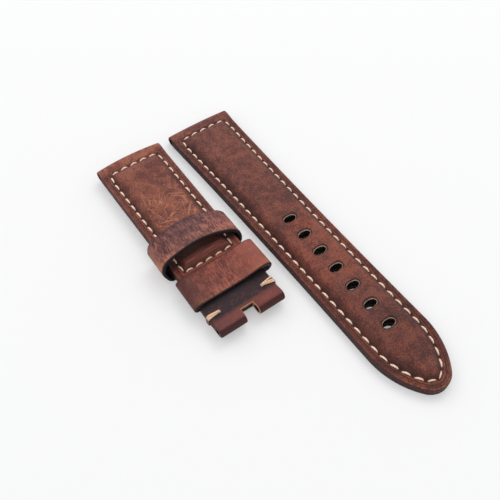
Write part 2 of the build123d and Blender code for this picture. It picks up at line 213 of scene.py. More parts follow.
# All sizes are in millimetres; a place is x across a half, d from its lug end and z above its underside
lug_half, lug_bar, bore_half, bore_radius, half_roll = 12.0, 1.9, 11.93, 1.0, 1.74
lining_start, wrap_end, corner_end, flap_end = 3.3, 3.9, 8.4, 12.0
lining_top, stay_top, pad_top, crest_top = 1.2, 1.6, 3.6, 5.0
seam_inset, seam_corner, straight_from, stitch, groove_depth = 2.6, 4.4, 6.5, 3.5, 0.36
first_hole, hole_pitch, hole_count, lip_share = 56.0, 7.52, 7, 0.82
hole_half, punched_half = (2.65, 1.5), (3.6, 2.6)
edge_round, spine_end = 0.5, 112.0


def rounded_corner(a, b, reach):
    """The lesser of two distances, rounded off where both are short."""
    near = reach - np.hypot(np.maximum(reach - a, 0), np.maximum(reach - b, 0))
    return np.where((a < reach) & (b < reach), near, np.minimum(a, b))


def rounding(edge, radius):
    """How far a rounded edge falls away at a distance inside it."""
    return radius - np.sqrt(radius**2 - np.clip(radius - edge, 0, radius) ** 2)


def swell(value, half):
    """A smooth hump of height 1 that ends a given distance away on both sides."""
    return np.where(np.abs(value) < half, 0.5 + 0.5 * np.cos(pi * value / half), 0.0)


def spaced(stops, pitches):
    """Places from the first stop to the last, at about the given pitch between each two stops."""
    gaps = zip(stops, stops[1:], pitches)
    runs = [np.linspace(a, b, round((b - a) / pitch) + 1)[:-1] for a, b, pitch in gaps]
    return np.concatenate([*runs, stops[-1:]])


class TailShape:
    """The tail half seen from above: a slack curve in to the shoulder, then an arch and a round nose."""

    seat, bow, creased_to = (15.2, 61.5, 0.0), 0.4, 200.0
    shoulder, shoulder_half, nose_at, nose = 105.0, 10.3, 117.0, 6.0
    curve = np.polyfit([0, 50, shoulder], [lug_half, 10.7, shoulder_half], 2)
    columns = spaced([wrap_end, corner_end, flap_end, shoulder], [0.24, 0.4, 0.45])
    # The arch runs on from the side at the shoulder and into the nose, without a corner at either
    rise, narrowing = nose_at - shoulder, shoulder_half - nose
    middle = (rise**2 - narrowing**2) / (2 * narrowing)
    arch, turn = shoulder_half + middle, atan2(rise, middle)

    def half_width(self, d):
        return np.polyval(self.curve, d)

    def edge(self, x, d):
        """How far inside the cut edge a place is."""
        x, beyond = np.abs(x), d - self.shoulder
        on_arch = (x + self.middle) * self.rise > beyond * self.middle
        arch = self.arch - np.hypot(x + self.middle, beyond)
        nose = self.nose - np.hypot(x, d - self.nose_at)
        return np.where(beyond <= 0, self.half_width(d) - x, np.where(on_arch, arch, nose))

    def inside(self, x, d):
        """How far inside the edges a place is, where the seam across the lug end counts as one more."""
        return rounded_corner(self.edge(x, d), d - lug_bar, seam_corner)

    def side(self, d, inset=0.0):
        """Places down the right-hand side at a distance inside its edge, from the given ones to the tip."""
        on_arch, on_nose = np.linspace(0, self.turn, 38)[1:-1], np.linspace(self.turn, pi / 2, 13)
        arch, nose = self.arch - inset, self.nose - inset
        x = [self.half_width(d) - inset, arch * np.cos(on_arch) - self.middle, nose * np.cos(on_nose)]
        down = [d, self.shoulder + arch * np.sin(on_arch), self.nose_at + nose * np.sin(on_nose)]
        return np.stack([np.concatenate(x), np.concatenate(down)], 1)


def seam_bend(shape, corner, start, stop, box=None):
    """The seam's line round a corner at the lug end or the box's, between two turns in degrees."""
    turn = np.radians(np.linspace(start, stop, 9))
    a, b = corner - (corner - seam_inset) * np.cos(turn), corner - (corner - seam_inset) * np.sin(turn)
    d = lug_bar + b if box is None else box - b
    return np.stack([shape.half_width(d) - a, d], 1)


def lengths_along(path):
    """How far along a path each of its places is."""
    return np.concatenate([[0], np.cumsum(np.linalg.norm(np.diff(path, axis=0), axis=1))])


def stitches_along(runs):
    """The two awl holes of each stitch, with the holes evenly spaced along each run of a seam."""
    pairs = []
    for run in runs:
        gone = lengths_along(run)
        at = np.linspace(0, gone[-1], round(gone[-1] / stitch) + 1)
        holes = np.stack([np.interp(at, gone, run[:, 0]), np.interp(at, gone, run[:, 1])], 1)
        pairs += list(zip(holes, holes[1:]))
    return pairs


def from_awls(x, d, pairs):
    """How far a place is from the nearest awl hole."""
    return np.min([np.hypot(x - a, d - b) for pair in pairs for a, b in pair] or [x * 0 + 9], axis=0)


def oval_hole(centre, turn, scale):
    """Places round an adjustment hole, at a share of its full size."""
    x, d = centre[0] + hole_half[0] * scale * np.cos(turn), centre[1] + hole_half[1] * scale * np.sin(turn)
    return np.stack([x, d])


class Skin:
    """A piece's mesh as it is made, with what each of its points notes for the finish."""

    # Across a hole's lip: the share of the way in, how far it falls, and its burnish and painted shade
    lip_rings = ((0.3, 0, 0), (0.5, 0.01, 0.02), (0.64, 0.06, 0.22), (0.76, 0.15, 0.42), (0.86, 0.27, 0.48),
                 (0.91, 0.34, 0.5), (0.94, 0.38, 0.68), (1.0, 0.50, 0.7))
    # Down a hole's wall: the share of the way down and how dark it is painted
    wall_rings = ((0.1, 0.7), (0.24, 0.72), (0.36, 1.0), (0.6, 1.0), (1.0, 1.0))

    def __init__(self, seat):
        self.seat, self.points, self.faces, self.notes = np.array(seat), [], [], []

    def lay(self, x, d, z, cut=0.0):
        """Add a sheet of places in rows and columns, with a face between each four."""
        x, d, z, cut = np.broadcast_arrays(x, d, z, cut)
        at = len(self.points) + np.arange(x.size).reshape(x.shape)
        self.points += list(zip(x.ravel(), d.ravel(), z.ravel()))
        self.notes += list(cut.ravel())
        corners = np.stack([at[:-1, :-1], at[1:, :-1], at[1:, 1:], at[:-1, 1:]], -1)
        self.faces += corners.reshape(-1, 4).tolist()

    def join(self, other):
        """Take over what another skin has laid."""
        self.faces += (np.array(other.faces) + len(self.points)).tolist()
        self.points, self.notes = self.points + other.points, self.notes + other.notes

    def punch(self, centre, surface, scale, low=None):
        """Close in on an oval hole from the sheets laid so far, and line it down to any level given."""
        points, faces = np.array(self.points), np.array(self.faces)
        away = np.abs(points[:, :2] - centre)
        gone = (away <= punched_half).all(1)[faces].all(1)
        keys, sides = np.round(points * 500).astype(int), {}
        for face in faces[gone]:
            for a, b in zip(face, np.roll(face, -1)):
                side = frozenset((tuple(keys[a]), tuple(keys[b])))
                sides[side] = sides.get(side, 0) + 1
        rim = np.array(sorted({key for side, count in sides.items() if count == 1 for key in side})) / 500
        rim = rim[np.argsort(np.arctan2(rim[:, 1] - centre[1], rim[:, 0] - centre[0]))]
        rim = np.concatenate([rim, rim[:1]])
        self.faces = faces[~gone].tolist()
        oval = oval_hole(centre, np.arctan2(*((rim[:, :2] - centre) / hole_half).T[::-1]), scale)
        rings, cut = [rim.T], [0.0]
        for share, drop, burn_and_shade in self.lip_rings:
            place = rim[:, :2].T * (1 - share) + oval * share
            rings.append([*place, surface(*place) - (0 if low is None else drop)])
            cut.append(burn_and_shade)
        if low is not None:
            top = rings[-1][2]
            for share, burn_and_shade in self.wall_rings:
                rings.append([*oval, top + (low - top) * share])
                cut.append(burn_and_shade)
        rings = np.array(rings)
        self.lay(rings[:, 0], rings[:, 1], rings[:, 2], np.array(cut)[:, None])

    def made(self, name, finish, body, node, slot, noted=()):
        """Weld the mesh, give each point its notes, and set the piece on its body in place of its node."""
        mesh = bpy.data.meshes.new(name)
        at = np.array(self.points)
        rows = np.stack([at[:, 0], -at[:, 1], at[:, 2]], 1) + self.seat
        mesh.from_pydata((rows * 0.001).tolist(), [], self.faces)
        for note, values in (("cut", self.notes), *noted):
            kept = mesh.attributes.new(note, "FLOAT", "POINT")
            kept.data.foreach_set("value", np.asarray(values, np.float32))
        welded = bmesh.new()
        welded.from_mesh(mesh)
        bmesh.ops.remove_doubles(welded, verts=welded.verts, dist=2e-6)
        bmesh.ops.dissolve_degenerate(welded, edges=welded.edges, dist=1e-7)
        bmesh.ops.recalc_face_normals(welded, faces=welded.faces)
        welded.to_mesh(mesh)
        welded.free()
        mesh.materials.append(finish)
        mesh.shade_smooth()
        piece = placed(name, mesh)
        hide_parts(node)
        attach(piece, body)
        return piece


class HalfSkin(Skin):
    """The mesh of one layer of a half."""

    def __init__(self, shape):
        super().__init__(shape.seat)
        self.shape = shape

    def sheet(self, edges, steps, height):
        """A sheet from both cut edges to the centreline, with rows at set steps and then eight more."""
        spine = np.stack([0 * edges[:, 1], np.minimum(edges[:, 1], spine_end)], 1)
        length = np.linalg.norm(spine - edges, axis=1)[:, None]
        rest = steps[-1] + (length - steps[-1]) * np.linspace(0, 1, 9)[1:]
        reach = np.concatenate([np.broadcast_to(steps, (len(edges), len(steps))), rest], 1)
        places = edges[:, None, :] + ((spine - edges) / length)[:, None, :] * reach[:, :, None]
        for side in (1, -1):
            x, d = side * places[..., 0], places[..., 1]
            self.lay(x, d, height(x, d) if callable(height) else height)

    def walls(self, edges, heights):
        """The cut edge on both sides, through the given heights."""
        bulge = np.interp(heights, [min(heights), np.mean(heights), max(heights)], [0, 0.05, 0])
        for side in (1, -1):
            self.lay(side * (edges[:, :1] + bulge), edges[:, 1:], np.array(heights)[None, :])

    def leather_piece(self, name, finish, body, node, slot, pairs=()):
        """Make the piece, with how far each point is from the edges, the seam and the awl holes."""
        x, d, z = np.array(self.points).T
        noted = (("edge_mm", self.shape.edge(x, d)), ("seam_mm", self.shape.inside(x, d)),
                 ("awl_mm", from_awls(x, d, pairs)), ("height_mm", z), ("along_mm", d), ("across_mm", x))
        return self.made(name, finish, body, node, slot, noted)


def rim_level(d):
    """The height of the flat outside the seam, which climbs a little to the turned lug end."""
    return 3.0 + 0.45 * swell(d - 2.2, 5.0)


def upper_top(shape, pairs):
    """The height of a half's upper leather: rounded edge, creased rim, stitched groove and raised pad."""
    camber, foot, slope = 0.8, 2.95, 2.7
    # How far inside the edge each crease is, and its half width and depth
    creases = ((1.45, 0.28, 0.19), (0.85, 0.22, 0.13))

    def height(x, d):
        edge, inside = shape.edge(x, d), shape.inside(x, d)
        rise = 1 - (1 - np.clip((inside - foot) / slope, 0, 1)) ** 1.85
        slack = 0.05 * np.sin(0.31 * d + 0.4 * x) * np.sin(0.17 * d) - 0.35 * np.exp(-((d - 6) / 7.0))
        crest = crest_top - camber * (x / lug_half) ** 2 + slack
        pressed = sum(depth * swell(edge - place, half) for place, half, depth in creases)
        pressed = pressed * np.clip((d - 3.5) / 2, 0, 1) * np.clip((shape.creased_to + 2 - d) / 2, 0, 1)
        groove = groove_depth * swell(inside - seam_inset, 0.72)
        awl_dips = 0.30 * np.exp(-((from_awls(x, d, pairs) / 0.42) ** 2))
        rim = rim_level(d) - rounding(edge, edge_round) - pressed - groove - awl_dips
        return rim + rise * (crest - rim)

    return height


def upper_underside(shape):
    """The underside of a half's upper leather, where it lies on the pad."""

    def height(x, d):
        rise = 1 - (1 - np.clip((shape.inside(x, d) - 3.2) / 2.4, 0, 1)) ** 2.4
        flat = np.where(d < flap_end, lining_top, stay_top)
        return flat + rise * (pad_top - flat) * (1 - 0.4 * (x / lug_half) ** 2)

    return height


def rings_to_bore(rim, bar):
    """Rings from the outline of a rolled end in to the bore round its bar."""
    angle = np.arctan2(rim[:, 1] - bar[1], rim[:, 0] - bar[0])
    bore = np.array(bar) + bore_radius * np.stack([np.cos(angle), np.sin(angle)], 1)
    return np.array([rim, rim * 0.6 + bore * 0.4, rim * 0.2 + bore * 0.8, bore])


def wrap_lug(skin):
    """The leather turned under at a lug end round the spring bar's bore, up to where the flat begins."""
    # Each place of the outline comes with its way inward, along which the leather's sides round off
    outline = [(wrap_end, lining_top, 0, 0), (3.6, lining_top, 0, 0), (lining_start, lining_top, 0, 0),
               (lining_start, 0.6, 0, 0), (lining_start, 0, 0, 1), (2.6, 0, 0, 1)]
    for t in np.linspace(-pi / 2, pi / 2, 15):
        outline.append((lug_bar - lug_bar * cos(t), half_roll + half_roll * sin(t), cos(t), -sin(t)))
    for d in (2.25, 2.6, 3.0, 3.45, wrap_end):
        outline.append((d, float(rim_level(d)) + 0.025 * (wrap_end - d), 0, -1))
    d, z, inward_d, inward_z = np.array(outline).T[:, :, None]
    edge = skin.shape.half_width(d)
    rest = rim_steps[-1] + (edge - rim_steps[-1]) * np.linspace(0, 1, 9)[1:]
    steps = np.concatenate([rim_steps + 0 * d, rest], 1)
    drop = rounding(steps, edge_round)
    rim = np.concatenate([
        np.array([d + inward_d * edge_round, z + inward_z * edge_round])[:, :, 0].T,
        [(wrap_end, 2.0), (wrap_end, stay_top), (wrap_end, lining_top)],
    ])
    rings = rings_to_bore(rim, (lug_bar, lug_bar))
    # The end has drawn out a little in the middle of its width
    bow = skin.shape.bow * (1 - ((edge - steps) / edge) ** 2) * np.clip((wrap_end - d) / 3.3, 0, 1)
    for side in (1, -1):
        skin.lay(side * (edge - steps), d + inward_d * drop - bow, z + inward_z * drop)
        skin.lay(side * skin.shape.half_width(rings[..., 0]), rings[..., 0], rings[..., 1])
        skin.lay(side * np.array([[bore_half], [6], [0]]), rings[-1, :, 0], rings[-1, :, 1], cut=1.0)


def leather(name, dark, mid, light, brushed=0.15, turn=0.3, patch=13.0):
    """Waxed pull-up leather: marbled where it has been bent, with fine grain and brushed lines."""
    material, start, shader = new_finish(name, gloss=0.3)
    place = start.place()
    marbling, mottling = start.cloud(place, patch, 5, 0.62, 0.9), start.cloud(place, 2.4, 4, 0.6)
    grain = start.cloud(place, 0.45, 3, 0.6)
    brushing = start.cloud(start.place((1, 0.12, 1), turn), 0.29, 2, 0.6)
    shade = marbling + mottling + grain * (1.7 - 2.0 * brushed) + brushing * (3.2 * brushed)
    colour = (shade - (1.35 + 0.6 * brushed)).ramp((0.30, dark), (0.50, mid), (0.72, light))
    pores = start.node("ShaderNodeTexVoronoi", {}, {"Vector": place, "Scale": 1.9})
    relief = pores.ease(0.0, 0.5) * (0.8 - brushed) + brushing * (0.4 + 2 * brushed)
    return material, start, shader, colour, relief + mottling * 0.4 + grain


def edged(start, colour, pale_rim=False):
    """Dark paint on a cut edge, burnish and painted shade round a hole's lip, and what a punched hole shows.
    """
    paint, burn_and_shade, depths = (0.044, 0.013, 0.013), (0.030, 0.010, 0.009), (0.010, 0.006, 0.005)
    edge, cut, height = start.measured("edge_mm"), start.measured("cut"), start.measured("height_mm")
    colour = colour.toward(paint, 1 - edge.ease(0.05, 0.26))
    # Round a hole's lip: burnish, and painted shade where the leather dips into the hole
    colour = colour.toward(burn_and_shade, cut.ease(0.0, 0.45) * 0.8)
    hole = colour.toward(depths, cut.ease(0.7, 0.95))
    rim = cut.ease(0.56, 0.66) * (1 - cut.ease(0.76, 0.86)) * height.ease(3.5, 3.9)
    return hole.toward((0.66, 0.50, 0.38), rim * 0.85) if pale_rim else hole


def seam_worn(start, colour, creased_to):
    """Burnish and painted shade beside a seam, the pressed crease outside it, and painted shade in awl
    holes.
    """
    burnish_and_shade, bare, awl_hole_shade = (0.042, 0.014, 0.012), (0.150, 0.066, 0.038), (0.040, 0.018, 0.011)
    seam, awl = start.measured("seam_mm"), start.measured("awl_mm")
    edge, along = start.measured("edge_mm"), start.measured("along_mm")
    smudge = start.cloud(start.place(), 3.5, 3)
    # Inside the seam the pad's foot is burnished and painted with shade where it rises
    beside = (1 - seam.ease(3.1, 5.2)) * seam.ease(2.3, 3.0) * (0.35 + 0.6 * smudge)
    inner_crease = edge.ease(1.15, 1.42) * (1 - edge.ease(1.5, 1.8)) * 0.74
    outer_crease = edge.ease(0.6, 0.82) * (1 - edge.ease(0.9, 1.1)) * 0.5
    creases = (inner_crease + outer_crease) * along.ease(3.4, 5.5)
    creases = creases * (1 - along.ease(creased_to, creased_to + 2))
    groove = seam.ease(2.1, 2.4) * (1 - seam.ease(2.8, 3.05)) * 0.6
    # The turned end is rubbed paler
    turned_end = (1 - along.ease(2.6, 4.6)) * smudge.ease(0.20, 0.60)
    colour = colour.toward((1.28, 1.36, 1.34), turned_end, "MULTIPLY")
    colour = colour.toward(burnish_and_shade, beside + creases)
    colour = colour.toward(bare, groove)
    # Painted shade in the awl holes, where the mesh only dips
    return colour.toward(awl_hole_shade, (1 - awl.ease(0.2, 0.55)) * 0.6)


def finished(start, shader, colour, relief, roughness, depth=0.00021):
    """Feed a finish's colour, roughness and relief to its shader."""
    feed(colour, shader, "Base Color")
    feed(roughness, shader, "Roughness")
    bump = start.node("ShaderNodeBump", {}, {"Strength": 0.6, "Distance": depth, "Height": relief})
    feed(bump, shader, "Normal")


tail = TailShape()
tail_side = np.concatenate([seam_bend(tail, seam_corner, 45, 0),
                            tail.side(spaced([straight_from, tail.shoulder], [0.5]), seam_inset)])
tail_lug = seam_bend(tail, seam_corner, 45, 90)
tail_pairs = stitches_along([
    np.concatenate([tail_side, (tail_side * (-1, 1))[-2::-1]]),
    np.concatenate([tail_lug * (-1, 1), tail_lug[::-1]]),
])
tail_holes = [(0.0, first_hole + hole_pitch * index) for index in range(hole_count)]
tail_edges = tail.side(tail.columns)
tail_top = upper_top(tail, tail_pairs)
rim_steps = np.array([
    0, .04, .1, .2, .34, .5, .65, .78, .88, .98, 1.1, 1.25, 1.37, 1.46, 1.55, 1.7, 1.9, 2.1, 2.25,
    2.4, 2.52, 2.64, 2.78, 2.92, 3.06, 3.22, 3.4, 3.62, 3.9, 4.25, 4.7, 5.3])
coarse_steps = np.array([0, 0.9, 1.9, 2.64, 3.2, 3.6, 4.25, 5.3])
flap_wall, stay_wall = (2.5, 2.2, 1.8, 1.4, lining_top), (2.5, 2.3, 2.05, 1.8, stay_top)

tail_leather, start, shader, colour, relief = leather(
    "tail_half_leather", (0.076, 0.019, 0.016), (0.142, 0.036, 0.024), (0.224, 0.065, 0.039))
along = start.measured("along_mm")
# The leather is redder round the holes, darker towards the tip and rubbed paler at the tip itself
redder = along.ease(44, 62) * start.cloud(start.place(), 8, 2).ease(0.35, 0.65)
colour = colour.toward((1.20, 1.06, 0.96), redder, "MULTIPLY")
colour = colour.toward((0.72, 0.76, 0.81), along.ease(70, 108), "MULTIPLY")
colour = colour.toward((1.60, 1.65, 1.50), along.ease(111, 119), "MULTIPLY")
colour = edged(start, seam_worn(start, colour, creased_to=200), pale_rim=True)
finished(start, shader, colour, relief, 0.46 + 0.2 * start.cloud(start.place(), 4, 3))

skin, under = HalfSkin(tail), HalfSkin(tail)
skin.sheet(tail_edges, rim_steps, tail_top)
under.sheet(tail_edges, coarse_steps, upper_underside(tail))
for hole in tail_holes:
    skin.punch(hole, tail_top, lip_share, pad_top)
    under.punch(hole, lambda x, d: pad_top + 0 * x, lip_share)
skin.join(under)
near_lug = tail_edges[:, 1] <= flap_end + 0.01
skin.walls(tail_edges[near_lug], flap_wall)
skin.walls(tail_edges[np.argmax(~near_lug) - 1:], stay_wall)
wrap_lug(skin)
piece = skin.leather_piece("tail_half_upper_leather", tail_leather,
                           "tail_half", "tail_half_upper", "upper_leather", tail_pairs)


# Under the tail half's upper leather lies a raw leather pad, 2 mm thick, then a thin woven stay over
# the whole half, and a smooth tan lining that meets the turned lug end. All are glued, sewn through
# and trimmed together, so their edges carry the same dark paint.

pad_start, pad_inset = 5.2, 3.3
lining_hole_share, stay_hole_share, pad_hole_share = 0.75, 0.95, 0.97


def lay_layer(shape, edges, low, high, holes=(), scale=1.0, groove=0.0, inset=0.0):
    """A flat layer with rounded lower edges, the seam's groove underneath and its holes punched."""
    steps = inset + np.array([
        0, .05, .12, .25, .5, 1.1, 1.8, 2.05, 2.2, 2.4, 2.6, 2.8, 3.0, 3.15, 3.5, 4.4, 5.3])
    skin, top = HalfSkin(shape), HalfSkin(shape)

    def underside(x, d):
        pressed = groove * swell(shape.inside(x, d) - seam_inset, 0.75)
        return low + rounding(shape.edge(x, d), 0.25) + pressed

    def crown(x, d):
        return high(x, d) if callable(high) else high + 0 * x

    for layer, rows, height in ((skin, steps, underside), (top, inset + coarse_steps, crown)):
        layer.sheet(edges, rows, height)
        for hole in holes:
            layer.punch(hole, height, scale)
    skin.join(top)
    for hole in holes:
        x, d = oval_hole(hole, np.linspace(0, 2 * pi, 41), scale)
        skin.lay(x + np.zeros((4, 1)), d, np.linspace(low + 0 * x, crown(x, d), 4), cut=1.0)
    if not callable(high):
        skin.walls(edges, np.linspace(low + 0.25 * (high - low > 0.5), high, 5))
        for x, d in (edges[0], edges[-1]):
            if x > 1:
                skin.lay(np.linspace(-x, x, 12)[:, None], d, np.linspace(low, high, 3))
    return skin


lining_leather, start, shader = new_finish("tan_lining", gloss=0.35)
place = start.place()
fine = start.cloud(place, 0.7, 3, 0.7)
pores = start.node("ShaderNodeTexVoronoi", {}, {"Vector": place, "Scale": 2.6})
shade = start.cloud(place, 16, 4, 0.6) * 0.7 + fine * 0.3
colour = shade.ramp((0.3, (0.30, 0.155, 0.080)), (0.7, (0.42, 0.235, 0.130)))
seam = start.measured("seam_mm")
colour = colour.toward((0.16, 0.075, 0.040), seam.ease(2.0, 2.4) * (1 - seam.ease(2.8, 3.2)) * 0.6)
relief = pores.ease(0.05, 0.4) + fine * 0.5
finished(start, shader, edged(start, colour), relief, 0.5 + 0.15 * fine, 0.00006)

raw_padding, start, shader = new_finish("raw_padding")
fibres = start.cloud(start.place((1, 0.3, 1)), 0.8, 5, 0.7)
colour = fibres.ramp((0.3, (0.17, 0.10, 0.06)), (0.7, (0.27, 0.18, 0.11)))
colour = colour.toward((0.012, 0.007, 0.006), start.measured("cut"))
finished(start, shader, colour, fibres, 0.8 + 0.1 * fibres)

woven_stay, start, shader = new_finish("woven_stay")
place = start.place()
warp, weft = (start.node("ShaderNodeTexWave", {"bands_direction": way}, {"Vector": place, "Scale": 1.1})
              for way in "XY")
colour = (warp * weft).ramp((0.0, (0.45, 0.43, 0.38)), (1.0, (0.70, 0.68, 0.62)))
finished(start, shader, edged(start, colour), warp + weft, 0.8 + 0.1 * warp)


def lay_layers(half, shape, lining_stops, stay_stops, pad_stops, holes=()):
    """A half's lining, stay and pad, each with the stops and pitches of its columns."""
    lining, stay, pad = (shape.side(spaced(*stops)) for stops in (lining_stops, stay_stops, pad_stops))
    skin = lay_layer(shape, lining, 0, lining_top, holes, lining_hole_share, groove=0.5)
    skin.leather_piece(f"{half}_lining_leather", lining_leather, half, f"{half}_lining", "lining_leather")
    skin = lay_layer(shape, stay, lining_top, stay_top, holes, stay_hole_share)
    skin.leather_piece(f"{half}_stay", woven_stay, half, f"{half}_reinforcement", "reinforcement")
    skin = lay_layer(shape, pad, stay_top, upper_underside(shape), holes, pad_hole_share, inset=pad_inset)
    skin.leather_piece(f"{half}_padding", raw_padding, half, f"{half}_filler", "filler")


lay_layers("tail_half", tail, ([lining_start, corner_end, flap_end, tail.shoulder], [0.3, 0.45, 0.6]),
           ([flap_end, tail.shoulder], [0.9]), ([pad_start, tail.shoulder], [0.6]), tail_holes)


# The tail half's two threads make a lockstitch of waxed cream thread, 3.5 mm to the stitch, sunk in a
# groove 2.6 mm inside the edge. Each stitch is three twisted plies that come up one awl hole and go
# down the next, a little aslant; the thread underneath does the same from its own side.

thread_half, ply_pitch, dive_reach, slant = (0.31, 0.25), 0.85, 0.82, 0.34


def strand(skin, path, up, half, taper):
    """A three-ply twisted thread along a path, of half this width and height times its taper."""
    along = np.gradient(path, axis=0)
    along /= np.linalg.norm(along, axis=1)[:, None]
    out = np.cross(along, up)
    out /= np.linalg.norm(out, axis=1)[:, None]
    top = np.cross(out, along)
    turn = np.linspace(0, 2 * pi, 13)
    ridge = np.cos(3 * turn - 2 * pi * lengths_along(path)[:, None] / ply_pitch)
    ply = taper[:, None] * (1 + 0.10 * ridge)
    places = path[:, None] + out[:, None] * (half[0] * ply * np.cos(turn))[:, :, None]
    places = places + top[:, None] * (half[1] * ply * np.sin(turn))[:, :, None]
    skin.lay(places[..., 0], places[..., 1], places[..., 2], cut=0.5 - 0.5 * ridge)


def sew(shape, pairs, floor, facing):
    """Every stitch of a half's seam on one face of it."""
    skin = Skin(shape.seat)
    share = np.linspace(0.07, 0.93, 17)
    for first, last in pairs:
        run = last - first
        length = np.linalg.norm(run)
        across = np.array([-run[1], run[0]]) / length
        dive = sum(np.exp(-((gone * length / dive_reach) ** 2)) for gone in (share, 1 - share))
        flat = first + share[:, None] * run + across * ((0.5 - share) * slant * facing)[:, None]
        height = floor(flat[:, 1]) + facing * (0.27 + 0.08 * np.sin(pi * share) - 0.8 * dive)
        path = np.concatenate([flat, height[:, None]], 1)
        strand(skin, path, (0, 0, 1), thread_half, 1 - 0.68 * np.clip(dive, 0, 1))
    return skin


thread, start, shader = new_finish("waxed_cream_thread", gloss=0.3)
ply, fluff = start.measured("cut"), start.cloud(start.place(), 1.2, 4, 0.7)
colour = fluff.ramp((0.25, (0.96, 0.67, 0.53)), (0.7, (1.0, 0.81, 0.68)))
colour = colour.toward((0.60, 0.36, 0.26), (1 - ply.ease(0.0, 0.4)) * 0.25)
finished(start, shader, colour, fluff, 0.62 + 0.15 * fluff, 0.00005)


def sew_half(half, shape, pairs):
    """A half's seam, with each of its threads in the groove on its own face."""
    skin = sew(shape, pairs, lambda d: rim_level(d) - groove_depth, 1)
    skin.made(f"{half}_stitching", thread, half, f"{half}_top_thread", "thread")
    skin = sew(shape, pairs, lambda d: 0.66 + 0 * d, -1)
    skin.made(f"{half}_stitching_underneath", thread, half, f"{half}_bottom_thread", "thread")


sew_half("tail_half", tail, tail_pairs)


# The buckle half's upper leather is the same leather, scuffed paler where the pad bends, and turned
# under the spring bar at its lug end. Its other end is rolled round the buckle's bar, slotted for the
# buckle's tongue, and folded back under the strap as a tab that butts against the lining.

tab_start, pad_end, box_end, box_corner, roll_start = 49.7, 51.6, 54.9, 3.4, 71.0
keeper_start, keeper_stop, strand_top, tab_edge = 54.4, 65.3, 2.0, 0.2
buckle_bar, bar_half, slot_start, slot_half = (74.2, 1.8), 11.02, 72.0, 2.15


class BuckleShape:
    """The buckle half seen from above: straight edges that draw in a little towards the buckle."""

    seat, length, bow, creased_to = (-13.4, 60.0, 1.5), 76.0, 0.9, 52.5
    columns = spaced(
        [wrap_end, corner_end, flap_end, 47, tab_start, keeper_start, 56, keeper_stop, roll_start],
        [0.24, 0.4, 0.45, 0.3, 0.24, 0.3, 0.5, 0.4])

    def half_width(self, d):
        return lug_half - d / self.length

    def edge(self, x, d):
        return self.half_width(d) - np.abs(x)

    def inside(self, x, d):
        at_lug = rounded_corner(self.edge(x, d), d - lug_bar, seam_corner)
        return rounded_corner(at_lug, box_end - d, box_corner)

    def side(self, d, inset=0.0):
        return np.stack([self.half_width(d) - inset, d], 1)


buckle = BuckleShape()
buckle_side = np.concatenate([
    seam_bend(buckle, seam_corner, 45, 0),
    buckle.side(spaced([straight_from, 51], [0.5]), seam_inset),
    seam_bend(buckle, box_corner, 0, 45, box_end),
])
buckle_box = seam_bend(buckle, box_corner, 45, 90, box_end)
buckle_lug = seam_bend(buckle, seam_corner, 45, 90)
buckle_pairs = stitches_along([
    buckle_side,
    np.concatenate([buckle_box, (buckle_box * (-1, 1))[::-1]]),
    (buckle_side * (-1, 1))[::-1],
    np.concatenate([buckle_lug * (-1, 1), buckle_lug[::-1]]),
])

buckle_leather, start, shader, colour, relief = leather(
    "buckle_half_leather", (0.105, 0.024, 0.018), (0.190, 0.048, 0.031), (0.275, 0.085, 0.047), patch=9.0)
place, along, cut = start.place(), start.measured("along_mm"), start.measured("cut")
# Scuffs criss-cross the lower half of the pad, where the wax has been rubbed away
rubbed, scuff = (0.290, 0.084, 0.046), (0.48, 0.190, 0.105)
scuffed = along.ease(14, 30) * (1 - along.ease(39, 44)) * start.measured("seam_mm").ease(3.4, 6.5)
colour = colour.toward(rubbed, scuffed * start.cloud(place, 8, 3).ease(0.38, 0.62) * 0.65)
for turn, size in ((1.0, 2.2), (0.35, 3.0), (-0.5, 2.6), (-0.95, 3.4)):
    cells = start.node("ShaderNodeTexVoronoi", {"feature": "DISTANCE_TO_EDGE"},
                       {"Vector": start.place((1, 0.13, 1), turn), "Scale": 1 / size})
    hair = (1 - cells.ease(0.004, 0.036)) * start.cloud(place, size * 1.6, 2).ease(0.44, 0.54)
    colour = colour.toward(scuff, hair * scuffed * 0.85)
# Between the keepers the leather is redder and painted lighter, as if lit, and has painted shade in its
# wrinkles across; painted shadow darkens it under and past the fixed keeper and under the free keeper
redder, wrinkle_shade = (0.420, 0.108, 0.070), (0.095, 0.027, 0.022)
shadow, keeper_shadow = (0.046, 0.018, 0.023), (0.012, 0.006, 0.007)
wrinkles = start.cloud(start.place((0.10, 1, 1)), 0.55, 3, 0.6)
near_keepers = along.ease(43, 48) * start.measured("height_mm").ease(1.4, 2.4)
# Redder, and painted lighter as if lit, between the keepers
colour = colour.toward(redder, near_keepers * (1 - along.ease(58, 64) * 0.35) * 0.82)
creased = near_keepers * (1 - along.ease(57, 60) * 0.8)
# Painted shade in the wrinkles' creases
colour = colour.toward(wrinkle_shade, creased * (1 - wrinkles.ease(0.40, 0.58)) * 0.6)
shaded = near_keepers * along.ease(58, 62) * (1 - along.ease(70.2, 72.4))
colour = colour.toward(shadow, shaded * (0.78 + 0.4 * start.cloud(place, 1.6, 3).ease(0.35, 0.6)))
# Painted shadow at the fixed keeper's front and under the free keeper's front
fixed_keeper_shadow = along.ease(64, 65) * (1 - along.ease(65.7, 67.6)) * 0.9
colour = colour.toward(keeper_shadow, fixed_keeper_shadow + near_keepers * (1 - along.ease(48.4, 51.4)) * 0.8)
# From the fixed keeper's front on the leather is darker and bluer, the roll's left half bluer still,
# and the roll's front has painted shade where it turns down away from the light
colour = colour.toward((0.60, 0.57, 0.66), along.ease(63, 68), "MULTIPLY")
left_half = (1 - start.measured("across_mm").ease(-6, 2)) * along.ease(69, 72)
colour = colour.toward((0.84, 0.92, 1.08), left_half * start.cloud(place, 3, 3).ease(0.25, 0.5), "MULTIPLY")
